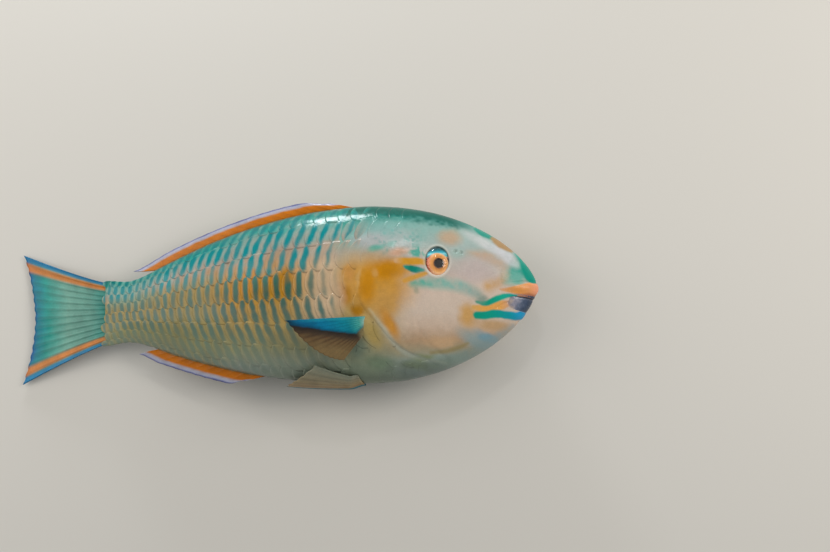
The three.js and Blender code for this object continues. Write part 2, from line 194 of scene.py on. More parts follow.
# A smooth line through its knots (Catmull-Rom).
def smoothLine(knots, steps=60):
    p = np.array(knots, float)
    p = np.vstack([p[:1], p, p[-1:]])
    spans = len(knots) - 1
    line = []
    for k in range(steps + 1):
        t = min(k / steps * spans, spans - 1e-9)
        i, f = int(t), t - int(t)
        a, b, c, d = p[i:i + 4]
        line.append(0.5 * (2 * b + (c - a) * f + (2 * a - 5 * b + 4 * c - d) * f * f
                           + (3 * b - a - 3 * c + d) * f ** 3))
    return np.array(line)


# How far a place is from a line, how far along the line that is (0 to 1), and on which side.
def nearLine(s, y, line):
    best = np.full(s.shape, 1e9)
    along, hand = np.zeros(s.shape), np.zeros(s.shape)
    count = len(line) - 1
    for i in range(count):
        ax, ay = line[i]
        dx, dy = line[i + 1] - line[i]
        t = clamp01(((s - ax) * dx + (y - ay) * dy) / max(dx * dx + dy * dy, 1e-9))
        gap = np.hypot(s - ax - t * dx, y - ay - t * dy)
        closer = gap < best
        best = np.where(closer, gap, best)
        along = np.where(closer, (i + t) / count, along)
        hand = np.where(closer, np.sign(dx * (y - ay) - dy * (s - ax)), hand)
    return best, along, hand


# Camera: the photograph's place and angle, from a fit to the fish's outline and features
view = {"target": (0.08382, 0.00758, 0.0229), "distance": 0.62583, "leanX": 7.113, "leanY": 7.793,
        "roll": -2.327, "lens": 50, "sensor": 36, "nearest": 0.01}
leanX, leanY, roll = (math.radians(view[k]) for k in ("leanX", "leanY", "roll"))
viewOut = Vector((math.sin(leanX), -math.sin(leanY) * math.cos(leanX), math.cos(leanY) * math.cos(leanX)))
level = Vector((0, 1, 0)).cross(viewOut).normalized()
upright = viewOut.cross(level)
viewRight = math.cos(roll) * level + math.sin(roll) * upright
viewUp = math.cos(roll) * upright - math.sin(roll) * level
camera = bpy.data.objects.new("camera", bpy.data.cameras.new("camera"))
camera.data.lens, camera.data.sensor_width = view["lens"], view["sensor"]
camera.data.clip_start = view["nearest"]
turned = Matrix((viewRight, viewUp, viewOut)).transposed().to_4x4()
camera.matrix_world = Matrix.Translation(Vector(view["target"]) + viewOut * view["distance"]) @ turned
bpy.context.collection.objects.link(camera)
bpy.context.scene.camera = camera
bpy.context.scene.view_settings.view_transform = "Standard"  # painted colours show as they are written


def addNode(tree, kind, settings=None, links=None):
    node = tree.nodes.new("ShaderNode" + kind)
    for key, value in (settings or {}).items():
        if isinstance(key, int) or key in node.inputs:
            node.inputs[key].default_value = value
        else:
            setattr(node, key, value)
    for key, socket in (links or {}).items():
        tree.links.new(socket, node.inputs[key])
    return node


def newMaterial(name, shader):
    material = bpy.data.materials.new(name)
    material.use_nodes = True
    tree = material.node_tree
    tree.nodes.clear()
    surface = addNode(tree, "BsdfPrincipled", shader)
    end = addNode(tree, "OutputMaterial", links={"Surface": surface.outputs[0]})
    return material, tree, surface, end


# Sizes in metres. Real slime varies by tenths of a millimetre, which the render is too small to show.
slimeFilm = {"patch": 0.006, "ripple": 0.0025, "poreShare": 0.35, "strength": 0.35, "low": 0.3, "high": 0.7}


# Painted colour with a fine speckle, pores and patches of thicker and thinner slime.
def wetSkin(name, shader, speckle, share, pore, depth, rough):
    material, tree, surface = newMaterial(name, shader)[:3]
    place = addNode(tree, "TexCoord").outputs["Object"]
    paint = addNode(tree, "Attribute", {"attribute_name": "paint"})
    grain = addNode(tree, "TexNoise", {"Scale": 1 / speckle, "Detail": 3.0}, {"Vector": place})
    spread = {"From Min": slimeFilm["low"], "From Max": slimeFilm["high"]}
    shade = addNode(tree, "MapRange", {**spread, "To Min": 1 - share, "To Max": 1 + share},
                    {"Value": grain.outputs["Fac"]})
    tinted = addNode(tree, "VectorMath", {"operation": "SCALE"},
                     {0: paint.outputs["Color"], "Scale": shade.outputs[0]})
    tree.links.new(tinted.outputs[0], surface.inputs["Base Color"])
    film = addNode(tree, "TexNoise", {"Scale": 1 / slimeFilm["patch"], "Detail": 4.0},
                   {"Vector": place})
    sheen = addNode(tree, "MapRange", {**spread, "To Min": rough[0], "To Max": rough[1]},
                    {"Value": film.outputs["Fac"]})
    tree.links.new(sheen.outputs[0], surface.inputs["Roughness"])
    pores = addNode(tree, "TexVoronoi", {"Scale": 1 / pore}, {"Vector": place})
    slime = addNode(tree, "TexNoise", {"Scale": 1 / slimeFilm["ripple"], "Detail": 3.0},
                    {"Vector": place})
    height = addNode(tree, "Math", {"operation": "MULTIPLY_ADD", 1: slimeFilm["poreShare"]},
                     {0: pores.outputs["Distance"], 2: slime.outputs["Fac"]})
    relief = addNode(tree, "Bump", {"Strength": slimeFilm["strength"], "Distance": depth},
                     {"Height": height.outputs[0]})
    tree.links.new(relief.outputs[0], surface.inputs["Normal"])
    tree.links.new(relief.outputs[0], surface.inputs["Coat Normal"])
    return material


wetFilm = {"Specular IOR Level": 0.06, "Coat IOR": 1.34, "Subsurface Scale": 0.3}  # slime is mostly water

# Wet fish skin: pigment cells under a clear film of slime, so colour stays deep and highlights are sharp.
skinMaterial = wetSkin("wet fish skin", {
    **wetFilm, "IOR": 1.38, "Coat Weight": 0.6, "Coat Roughness": 0.12,
    "Subsurface Weight": 0.06, "Subsurface Radius": (0.004, 0.0025, 0.0018), "Subsurface Scale": 0.4,
}, speckle=0.0007, share=0.05, pore=0.0009, depth=0.00022, rough=(0.3, 0.45))

# Wet scales: thin horny plates under the same film, a little glossier and flatter than the skin.
scaleMaterial = wetSkin("wet cycloid scale", {
    **wetFilm, "IOR": 1.42, "Coat Weight": 0.65, "Coat Roughness": 0.1,
    "Subsurface Weight": 0.04, "Subsurface Radius": (0.003, 0.002, 0.0015),
}, speckle=0.0006, share=0.07, pore=0.0006, depth=0.00016, rough=(0.25, 0.4))

# Fin membrane: skin stretched between rays, thin enough to let some light through.
finMaterial = wetSkin("wet fin membrane", {
    **wetFilm, "IOR": 1.38, "Coat Weight": 0.55, "Coat Roughness": 0.24,
    "Subsurface Weight": 0.12, "Subsurface Radius": (0.004, 0.002, 0.0015),
}, speckle=0.0008, share=0.08, pore=0.0008, depth=0.00006, rough=(0.25, 0.4))

# Beak enamel: dense fused teeth, smooth and hard, with a low gloss where they graze coral.
beakMaterial = wetSkin("beak enamel", {
    **wetFilm, "Specular IOR Level": 0.2, "IOR": 1.62, "Coat Weight": 0.5, "Coat Roughness": 0.12,
    "Subsurface Weight": 0.06, "Subsurface Radius": (0.002, 0.002, 0.002),
}, speckle=0.0012, share=0.12, pore=0.0009, depth=0.00004, rough=(0.2, 0.34))

# Iris: pigmented tissue, seen through the cornea, so it has no film of its own.
irisMaterial = wetSkin("iris", {
    "Specular IOR Level": 0.3, "IOR": 1.4, "Coat Weight": 0.0, "Coat Roughness": 0.1,
}, speckle=0.0004, share=0.08, pore=0.0004, depth=0.00004, rough=(0.4, 0.55))

# Cornea: clear wet tissue over the iris. Lamps shine through it on to the iris.
corneaMaterial, corneaTree, cornea, corneaEnd = newMaterial("cornea", {
    "Base Color": (1, 1, 1, 1), "Roughness": 0.03, "IOR": 1.376, "Transmission Weight": 1.0,
})
rays = addNode(corneaTree, "LightPath")
clear = addNode(corneaTree, "BsdfTransparent")
through = addNode(corneaTree, "MixShader", links={
    0: rays.outputs["Is Shadow Ray"], 1: cornea.outputs[0], 2: clear.outputs[0]})
corneaTree.links.new(through.outputs[0], corneaEnd.inputs["Surface"])
print("materials made")


def spotsOf(mesh):
    spots = np.empty(len(mesh.vertices) * 3)
    mesh.vertices.foreach_get("co", spots)
    return spots.reshape(-1, 3)


def finishedMesh(bm, name):
    mesh = bpy.data.meshes.new(name)
    bm.to_mesh(mesh)
    bm.free()
    return mesh


# A sheet of quads, rows by columns, with each vertex's row and column and whether it is on top.
def gridMesh(name, rows, columns, walled=False, unwrapped=False):
    bm = bmesh.new()
    if unwrapped:
        bm.loops.layers.uv.new("OFBake")
    bmesh.ops.create_grid(bm, x_segments=rows, y_segments=columns, size=0.5, calc_uvs=unwrapped)
    if walled:
        bmesh.ops.solidify(bm, geom=list(bm.faces), thickness=1.0)
    mesh = finishedMesh(bm, name)
    spots = spotsOf(mesh)
    row, column = (np.rint((spots[:, k] + 0.5) * n).astype(int) for k, n in ((0, rows), (1, columns)))
    return mesh, row, column, np.where(spots[:, 2] > spots[:, 2].mean(), 1, -1)


def sheetNormal(sheet):
    normal = np.cross(np.gradient(sheet, axis=0), np.gradient(sheet, axis=1))
    return normal / np.maximum(np.linalg.norm(normal, axis=-1, keepdims=True), 1e-12)


def setPoints(mesh, points):
    mesh.vertices.foreach_set("co", np.asarray(points, np.float32).ravel())
    mesh.update()


def setPaint(mesh, colours):
    layer = mesh.color_attributes.new("paint", "FLOAT_COLOR", "POINT")
    rgba = np.ones((len(mesh.vertices), 4), np.float32)
    rgba[:, :3] = np.clip(colours, 0, 1)
    layer.data.foreach_set("color", rgba.ravel())


def addPiece(mesh, material, slot, *nodes):
    mesh.polygons.foreach_set("use_smooth", [True] * len(mesh.polygons))
    mesh.materials.append(material)
    piece = bpy.data.objects.new(mesh.name, mesh)
    bpy.context.collection.objects.link(piece)
    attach(piece, "root")
    if nodes:
        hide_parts(*nodes)
    print(mesh.name, len(mesh.polygons), "faces")


# Joins doubled points, closes an open rim if told to, and turns the faces outwards.
def tidyMesh(mesh, closed=False):
    bm = bmesh.new()
    bm.from_mesh(mesh)
    bmesh.ops.remove_doubles(bm, verts=bm.verts, dist=1e-7)
    bmesh.ops.dissolve_degenerate(bm, edges=bm.edges, dist=1e-7)
    if closed:
        bmesh.ops.contextual_create(bm, geom=[e for e in bm.edges if e.is_boundary])
    bmesh.ops.recalc_face_normals(bm, faces=bm.faces)
    bm.to_mesh(mesh)
    bm.free()


# Head forms
gillEdge = smoothLine([(77, 62), (78, 42), (80, 28), (87, 20), (93, 11), (94.5, 2), (91.5, -7), (85.5, -15),
                       (77, -26), (68, -33), (56, -38), (45, -44), (37, -54)], 80)
cheekEdge = smoothLine([(73, 20), (66.5, 14), (64, 2), (64, -14), (59, -27), (50, -36), (45, -42)], 40)
eye = {"s": 51.2, "y": 14.3, "wide": 5.9, "tall": 7.5, "irisY": -1.9, "iris": 5.8, "pupilS": -0.7,
       "pupilY": -1.6, "pupil": 2.45, "deep": 3.6, "sunk": 1.5, "wall": 0.35, "around": 96, "rings": 64,
       "dish": 0.5, "pupilDish": 0.9, "fibres": 46, "rear": "#b84e24", "rim": "#6a2812"}
nostrils = [(38.5, 18.5, 0.8), (41.5, 19.3, 1.0)]
pectoralBase = {"s": 91, "y": -17.5, "long": 4.5, "tall": 6}
gape = {"long": 15.2, "level": -10.9, "slope": 0.17, "half": 3.9, "deep": 1.7}
mouthCorner = smoothLine([(15.5, -8.6), (18.5, -9.6), (21, -11.4)], 8)
# How far each form stands out of the plain body, or lies under it, in millimetres.
relief = {"gillStep": 0.1, "gillStepLow": 0.42, "gillRidge": 0.12, "gillGroove": 0.2, "cheekFold": 0.16,
          "orbitRim": 0.5, "orbit": 3.2, "upperLip": 0.8, "lowerLip": 0.4, "lipFold": 0.3, "corner": 0.35,
          "nostril": 0.9, "nostrilRim": 0.25, "finRoot": 0.8}


def eyeDistance(s, y):
    return np.hypot((s - eye["s"]) / eye["wide"], (y - eye["y"]) / eye["tall"])


# 0 in the middle of the gape, 1 at its rim, more outside.
def gapeDistance(s, y):
    off = np.abs(y - gape["level"] - gape["slope"] * s) / gape["half"]
    return (np.maximum(s / gape["long"], 0) ** 5 + off ** 3) ** (1 / 3)


def headRelief(s, y):
    gap, _, hand = nearLine(s, y, gillEdge)
    behind = gap * hand  # above zero behind the gill cover
    low = fall(-12, 14, y)  # the edge stands out below and dies away towards the nape
    step = (relief["gillStep"] + relief["gillStepLow"] * low) * ease(42, 80, s) * fall(12, 26, y)
    total = step * fall(-1.0, 0.6, behind)
    edge = relief["gillRidge"] * bump(behind + 1.8, 1.2) - relief["gillGroove"] * bump(behind - 1.2, 1.2)
    total += low * edge * ease(50, 60, s)
    gap, along, hand = nearLine(s, y, cheekEdge)
    front = gap * hand
    ends = ease(0.02, 0.2, along) * fall(0.75, 1, along)
    total += ends * relief["cheekFold"] * (bump(front + 2.5, 2.0) - bump(front, 1.0))
    e = eyeDistance(s, y)
    total += relief["orbitRim"] * bump(e - 1.1, 0.1) - relief["orbit"] * fall(0.86, 1.02, e)
    total += relief["upperLip"] * bump(y + 1.6 - 0.12 * s, 2.6, 3) * fall(11, 19, s)
    total += relief["lowerLip"] * bump(y + 15.8, 1.6, 3) * fall(10, 17, s) * (y < -8)
    folds = bump(y - 2.2, 0.7) * fall(12, 19, s) + bump(y + 18.2, 0.7) * fall(10, 18, s)
    total -= relief["lipFold"] * folds + gape["deep"] * fall(0.86, 1.03, gapeDistance(s, y))
    total -= relief["corner"] * bump(nearLine(s, y, mouthCorner)[0], 0.6)
    for ns, ny, radius in nostrils:
        r = np.hypot(s - ns, y - ny)
        total += relief["nostrilRim"] * bump(r - radius * 1.5, radius * 0.4)
        total -= relief["nostril"] * bump(r, radius)
    ps, py = ((v - pectoralBase[k]) / pectoralBase[size] for v, k, size in ((s, "s", "long"), (y, "y", "tall")))
    total += relief["finRoot"] * fall(0.4, 1.1, np.hypot(ps, py)) * (behind > 0.2)
    return total


# Markings. Each wash is a soft oval: colour, station, y, half length, half height, turn, strength.
# Colours by height on the head and the trunk. Both grow greyer and darker towards the belly: the underside's
# own olive with painted shade where the body turns away from the light above.
headStops = [(-47, "#66746c"), (-42, "#7b8780"), (-37, "#94a095"), (-32, "#a99c80"), (-27, "#b99a7a"),
             (-20, "#cfb7a2"), (-12, "#d3c0af"), (0, "#d2beae"), (8, "#bfb0a7"), (18, "#aeaea7"),
             (27, "#98aba5"), (36, "#7ba39b"), (41, "#2f8e83"), (46, "#086a5c")]
trunkStops = [(-47, "#6c7766"), (-38, "#7d8872"), (-25, "#99916c"), (-12, "#b29a66"), (0, "#b8965c"),
              (10, "#b79c72"), (20, "#a39c8c"), (28, "#6fa094"), (38, "#0a8478"), (45, "#006a60")]
washes = [
    ("#86aba6", 84, 31, 17, 9, 0, 0.8), ("#b2adae", 85, 27, 12, 6, 8, 0.7), ("#a6aeac", 70, 27, 8, 6, 0, 0.6),
    ("#4aa898", 82.7, 22.7, 5, 2.2, -14, 0.85), ("#5aab9c", 75, 24, 3, 2, 0, 0.5),
    ("#9dada8", 38, 23, 13, 7, -30, 0.75), ("#b59a7e", 45, 27.6, 6.4, 5.6, 20, 0.9),
    ("#9cb5ac", 41, 17.6, 4.5, 3.6, 0, 0.7), ("#beafaa", 31.5, 9, 10, 8.5, 0, 0.8),
    ("#3f9c8c", 10.6, 6.4, 7.2, 6.8, -15, 1.0), ("#6da99c", 16.2, 3.0, 3, 3, 0, 0.6),
    ("#cf9c4e", 36.4, -15.0, 5.2, 7.2, 0, 0.85), ("#c5a074", 24, -20.4, 11, 3.4, 6, 0.9),
    ("#8fa5a6", 31, -28.5, 13, 5, 28, 0.9), ("#6fa0b2", 27, -27.0, 7.5, 2.6, 32, 0.8),
    ("#cba780", 50.4, -28.6, 9.5, 3.6, 5, 0.8), ("#93a298", 49, -36.8, 11, 2.4, 3, 0.85),
    # These dark olive ovals low on the body are the belly's own olive with painted shade on the underside.
    ("#818a5a", 61, -36, 6, 2.2, 0, 0.8), ("#6d7a5c", 66, -39.5, 8, 3, 0, 0.7),
    ("#c28c34", 84.5, 3.5, 22.5, 17, 8, 1.0), ("#c4944c", 79, -7, 7.5, 10, 0, 0.9),
    ("#c4891e", 71, 11, 7, 5.5, 0, 0.8), ("#c9954a", 97, 5, 5, 10, 0, 0.8),
    ("#c98c38", 77.2, -18, 3.8, 9, -28, 1.0), ("#c07f06", 78.2, 10.8, 10, 6, 0, 1.0),
    ("#be7f0e", 88.6, 3.4, 4.6, 11, 6, 1.0), ("#c28c48", 97.6, 10, 3.6, 5, 0, 0.95),
    ("#b07818", 99.6, -2, 3.6, 6.4, 0, 0.95), ("#ac7612", 93.8, -10, 4.2, 3.8, 0, 1.0),
    ("#cba468", 92.8, 6, 1.0, 7, 8, 0.6), ("#c39a60", 84.6, 9.5, 2.2, 3, 0, 0.5),
    ("#c99e82", 70.5, 19.4, 6.4, 2.8, -6, 0.9), ("#ae9658", 87, -22.5, 5.4, 9, -16, 0.95),
    # These two dark ovals low on the body are the belly's own olive with painted shade on the underside.
    ("#6e8070", 95, -29, 6, 7, 0, 0.75), ("#6f8468", 84, -38, 8, 4, 10, 0.6),
    # The grey oval at station 62.5, on the cheek's fold behind the eye, is a painted shadow.
    ("#9a9a84", 62.5, -0.6, 2.4, 2, 0, 0.7), ("#86968a", 28.4, -6.4, 3.4, 1.7, 0, 0.85),
    ("#c8a68c", 104, -2, 5, 12, 0, 0.6),
]
# Strokes: knots of (station, y, half width), the colours along it, strength, width of the soft edge.
strokes = [
    # A pale band from the forehead down to the snout: pale lilac-grey skin with a painted highlight of the wet
    # film laid over it.
    ([(38, 30.6, 1.6), (28, 24.6, 2.6), (19.6, 19.4, 2.8), (14.2, 14.8, 2.8), (10.2, 11.0, 1.8)],
     "#a9b3ae #c6c6c4 #cdcace #cac9cd #b6c4c0", 0.85, 1.7),
    ([(31, 32.6, 1.3), (26.6, 29.8, 2.5), (21.4, 27, 1.6)], "#0f8d7b", 0.95, 0.7),
    ([(22.4, 26.6, 1.3), (18, 23.5, 2.7), (13.2, 19.9, 1.4)], "#a88456", 0.95, 0.9),
    ([(10.8, 17.8, 0.5), (8.2, 14.8, 1.5), (5.4, 10.4, 3.0), (3.1, 6.2, 4.2), (1, 3.0, 3.2)],
     "#2f9c8c #0d917e #079482", 1.0, 0.9),
    ([(35, 18.6, 1.2), (28, 17.2, 2.4), (21, 13.6, 2.4), (16.6, 8.6, 2.2), (18.4, 3.0, 2.4), (24.8, 0.0, 3.0)],
     "#b3a28e #c09a7c #bfa086 #b9a28a #c09c74 #cb9c60", 0.75, 2.2),
    ([(0, -1.4, 3.1), (5, -1.6, 3.1), (10, -2.0, 2.5), (14.5, -2.2, 1.3), (19.5, -1.9, 0.4)],
     "#ee9f82 #e69c60 #e39a50 #dc9c60 #cba284", 1.0, 0.4),
    ([(0.6, -5.7, 1.6), (4.5, -5.5, 1.6), (8, -5.2, 1.1), (12.5, -4.8, 0.4)],
     "#9a5c42 #b46c48 #b98060", 0.9, 0.8),
    ([(33.2, -10.9, 1.2), (29, -11.5, 1.9), (24, -11.2, 2.2), (18.5, -9.8, 2.4), (15.4, -9.3, 1.5)],
     "#d9a860 #eba646 #e8a650 #d5a078", 0.95, 0.6),
    ([(31.5, -8.0, 0.8), (28.5, -8.7, 1.3), (25.5, -8.6, 1.5), (21.5, -6.9, 1.6), (18, -5.6, 1.4),
      (14.5, -5.1, 1.1), (11.0, -5.2, 0.5)], "#4f9880 #0a9a80 #0cac92 #1a9896", 1.0, 0.5),
    ([(31.9, -15, 2.0), (28, -15, 2.1), (21, -14.5, 2.1), (16, -15.2, 2.0), (12, -15.7, 1.9),
      (8.5, -14.8, 2.0), (6.0, -13.2, 1.5)], "#039a80 #039e8a #0a9ba4 #1a9ac8 #1a88b8", 1.0, 0.5),
    ([(57, -33.4, 0.8), (50, -33, 1.0), (42.6, -31.4, 1.0), (37.6, -29, 0.6)], "#97885a", 0.75, 0.8),
    ([(64.5, 2.6, 1.5), (59.5, 3.1, 2.3), (49.6, 2.3, 3.0), (39.8, 0.3, 3.0), (33, -2.8, 2.6), (29, -6, 1.8)],
     "#4fa28e #62aa98 #84b4a7 #8fb2a8 #98ada4 #8f9c90", 1.0, 2.2),
    # A blue-grey band along the lower contour of the chin and belly: its own bluish tint, with painted shade
    # along the underside.
    ([(14, -20.4, 0.8), (20, -24.8, 1.8), (27, -29.4, 2.6), (36, -34, 2.8), (48, -38, 2.8), (60, -41, 2.4)],
     "#8aa3aa #8fa3a6 #8a9d9c #84958a #6e7a68", 0.8, 2.0),
    ([(72.5, 15.4, 1.3), (68.4, 14.9, 1.8), (61.2, 14.5, 2.0), (57.6, 13.7, 1.4)],
     "#c9a074 #c88f22 #ca8f1e #cc9a48", 0.97, 0.6),
    ([(68.5, 12.0, 0.5), (65.5, 11.1, 1.8), (62.5, 10.1, 1.9), (58.6, 9.6, 0.9)],
     "#2a9080 #0a7a68 #0b7f72 #4f9488", 1.0, 0.45),
    ([(68.5, 4.4, 1.2), (64.4, 5.8, 1.5), (60, 7.2, 1.3), (56.8, 8.1, 0.9)], "#cc963e", 0.95, 0.6),
    ([(87.5, -9.5, 0.3), (83.7, -15.4, 0.7), (81.2, -19, 1.0), (76.7, -26.6, 1.2), (70.4, -32.5, 1.2),
      (60.7, -36.6, 0.9), (50, -39, 0.4)], "#c4b894 #bfbca6 #a9b0a2 #97a294", 0.7, 1.1),
]
strokeLines = [(smoothLine([k[:2] for k in knots], 30), [k[2] for k in knots], *rest)
               for knots, *rest in strokes]
# Small marks round the eye and mouth. orbit paints the socket near black: painted shade in the gap round the
# eyeball.
paints = {"nape": "#00594e", "speckle": "#2f9c8a", "veins": "#4a9c92", "eyeRing": "#e2d8c8", "brow": "#1d4a46",
          "orbit": "#1c1917", "mouthRim": "#8d8288"}
# Inside the gape, between the beak plates: the mouth's lining painted dark, with painted shade in the slot.
mouthStops = [(6, "#4a3634"), (13, "#8a7f86")]
skinPatch, skinGrain = 0.009, 0.0022  # sizes of the skin's soft variation, in metres


# The height of a place as if the body were as tall everywhere as the colour stops are written for.
def stopHeight(s, y):
    return np.where(y > 0, y * 46 / np.maximum(backHeight(s), 8), y * 47 / np.maximum(bellyDepth(s), 8))


# Colour codes spread evenly from 0 to 1.
def evenStops(codes):
    codes = codes.split()
    return list(zip(np.linspace(0, 1, len(codes)), codes))


# The fish's colours at a place, the same on both flanks, with painted shade and a painted highlight among the
# markings.
def paintSkin(s, y, points):
    drift, other = (mottle(points + step, skinPatch) - 0.5 for step in (0, 0.3))
    fine = mottle(points, skinGrain) - 0.5
    ws, wy = s + 3.2 * drift + 1.2 * fine, y + 3.2 * other + 1.0 * fine  # markings have wandering edges
    height = stopHeight(s, wy)
    level = np.where(s > 70, height, np.where(wy > 0, 0.45 * height + 0.55 * wy, wy))
    colours = blend(stopColour(level, headStops), stopColour(height, trunkStops), ease(62, 92, ws))
    for code, cs, cy, long, tall, turn, strength in washes:
        a = math.radians(turn)
        u = ((ws - cs) * math.cos(a) + (wy - cy) * math.sin(a)) / long
        v = (-(ws - cs) * math.sin(a) + (wy - cy) * math.cos(a)) / tall
        colours = blend(colours, code, strength * fall(0.3, 1.3, np.hypot(u, v)))
    top = y / np.maximum(backHeight(s), 1)
    strip = ease(0.78, 0.92, top + 0.14 * fine) * ease(27, 46, s) * fall(100, 116, s)
    colours = blend(colours, paints["nape"], 0.97 * strip)
    speckle = fall(0.5, 1.2, np.hypot((s - 60.5) / 6, (y - 19.6) / 3.4)) * ease(-0.02, 0.12, fine)
    colours = blend(colours, paints["speckle"], 0.85 * speckle)
    veins = fall(0.4, 1.2, np.hypot((s - 72) / 17, (y - 27) / 9))
    veins = veins * ease(0.02, 0.3, np.abs(fine) + 0.6 * drift)
    colours = blend(colours, paints["veins"], 0.6 * veins)
    calm = 1 - 0.5 * fall(58, 70, s)  # the cheek is more even than the body
    colours = colours * (1 + calm * (0.2 * drift + 0.2 * fine))[..., None]
    ms, my = s + 0.9 * drift + 0.5 * fine, y + 0.9 * other - 0.5 * fine
    for line, widths, codes, strength, soft in strokeLines:
        gap, along, _ = nearLine(ms, my, line)
        half = np.interp(along, np.linspace(0, 1, len(widths)), widths)
        share = strength * fall(-soft, soft, gap - half)
        share = share * (1 + clamp01(soft - 0.9) * 0.8 * (fine - 0.2))  # soft strokes are mottled too
        colours = blend(colours, stopColour(along, evenStops(codes)), clamp01(share))
    e, g = eyeDistance(s, y), gapeDistance(s, y)
    lower = fall(8, 13, y)
    # Round the eye, a pale ring and a dark line over its top, and the socket painted near black as painted
    # shade round the eyeball; a grey-mauve rim along the gape's lower side.
    for key, share in (("eyeRing", 0.85 * bump(e - 1.13, 0.09) * (0.35 + 0.65 * lower)),
                       ("brow", 0.85 * (1 - lower) * bump(e - 1.01, 0.06)), ("orbit", fall(0.9, 0.98, e)),
                       ("mouthRim", 0.8 * fall(0.98, 1.14, g) * (y < -8))):
        colours = blend(colours, paints[key], share)
    # The gape itself is painted dark: the mouth's lining with painted shade inside the slot.
    return blend(colours, stopColour(s, mouthStops), 0.92 * fall(0.9, 1.0, g))


# Skin: one sheet wrapped round the whole body, finer on the head
skin = {"rowSteps": [(0, 0.12), (3, 0.45), (76, 0.52), (108, 0.9), (140, 1.8), (246, 1.9)], "around": 320,
        "front": 0.05, "floor": 0.5, "waves": 0.3, "waveSize": 0.014, "under": 0.35}
stations = np.linspace(skin["front"], fish["stalkEnd"], 8000)
steps = np.interp(stations, *zip(*skin["rowSteps"]))
count = runningSum(np.diff(stations) / steps[1:])
rows, around = int(count[-1]), skin["around"]
mesh, row, column = gridMesh("skin", rows, around, unwrapped=True)[:3]
s = np.interp(np.linspace(0, count[-1], rows + 1), count, stations)[:, None] + np.zeros(around + 1)
y, side = ringPoint(s, girthAngle(np.linspace(-2, 2, around + 1) * quarterGirth + 0 * s))
base = toFrame(s, y, side)
ring = np.roll(base[:, :-1], -1, 1) - np.roll(base[:, :-1], 1, 1)
normal = np.cross(np.concatenate([ring, ring[:, :1]], 1), np.gradient(base, axis=0))
normal /= np.maximum(np.linalg.norm(normal, axis=-1, keepdims=True), 1e-12)
normal *= np.sign(normal[rows // 2, around // 2, 2])
normal[0] = (1, 0, 0)
lift = headRelief(s, y) + skin["waves"] * (mottle(base, skin["waveSize"]) - 0.5)
lift -= skin["under"] * ease(98, 110, s) * fall(238, 246, s)  # lies lower where the scales cover it
points = base + normal * lift[..., None] / 1000
points[..., 2] = np.maximum(points[..., 2], skin["floor"] / 1000)
points[0] = points[0].mean(0)
colours = paintSkin(s.ravel(), y.ravel(), base.reshape(-1, 3)).reshape(base.shape)
setPoints(mesh, points[row, column])
setPaint(mesh, colours[row, column])
tidyMesh(mesh, closed=True)
addPiece(mesh, skinMaterial, "skin", "head", "gill_cover_right", "gill_cover_left", "trunk", "tail_stalk")

# Scales: plates in eight rows a side, lying like roof tiles, each row set off from the next
coat = {
    "rows": [(0.98, 0.68), (0.70, 0.18), (0.40, 0.76), (0.115, 0.19), (-0.17, 0.42), (-0.46, 0.9),
             (-0.75, 0.4), (-1.03, 0.9)],  # each row's height in girth and where in a scale's pitch it starts
    "pitch": [(60, 6.9), (100, 6.9), (120, 6.8), (130, 6.5), (140, 6.1), (160, 5.75), (200, 5.3), (240, 4.4)],
    "rowHeight": 0.2875, "bow": 0.007, "bowLevel": 8, "bowReach": 25, "overlap": 2.05, "spread": 1.2,
    "rootLift": -0.2, "edgeLift": 0.12, "thick": 0.1, "rimThin": 0.6, "rimFrom": (0.78, 0.7), "tilt": 0.12,
    "rootSink": 0.5, "uneven": 0.04, "floor": 0.45, "along": 18, "across": 14, "first": 4, "last": 247,
}
coatGrid = np.linspace(0, 260, 5201)
coatPitch = np.interp(coatGrid, *zip(*coat["pitch"]))
coatCount = runningSum(np.diff(coatGrid) / coatPitch[1:])
barStops = [(-47, "#7a8a80"), (-30, "#71806c"), (-16, "#5f7262"), (-6, "#4c685e"), (3, "#35594a"),
            (11, "#33685a"), (17, "#1a7d80"), (26, "#008086"), (36, "#007a7e"), (46, "#006662")]
gapStops = [(-47, "#8c9a94"), (-30, "#93916c"), (-16, "#ab9158"), (-5, "#b38c48"), (3, "#b07e1a"),
            (9, "#b47c18"), (15, "#b98c58"), (24, "#a69484"), (33, "#8b9a90"), (40, "#1f8e84"), (46, "#00756a")]
scalePaints = {"glow": "#c07a08", "greyGap": "#7f9c92", "frontGap": "#ccb294", "highGap": "#b5a08c",
               "rearGap": "#8f8a5c", "stalkGap": "#6fa596", "rearBar": "#5f7a6e", "frontBar": "#5f7f78"}
scalePatch, scaleGrain = 0.008, 0.004
coatEdge = smoothLine([(66, 46), (66, 30), (74, 26), (84, 22.5), (90, 17), (95, 9), (96, 2), (93, -7),
                       (88, -15), (80, -26), (71, -34), (60, -39), (50, -46)], 60)[::-1]


# Rows of scales bow towards the head above and below the body's axis.
def bowAt(y):
    off, reach = np.abs(y - coat["bowLevel"]), coat["bowReach"]
    return coat["bow"] * np.where(off < reach, off * off, 2 * reach * off - reach ** 2)


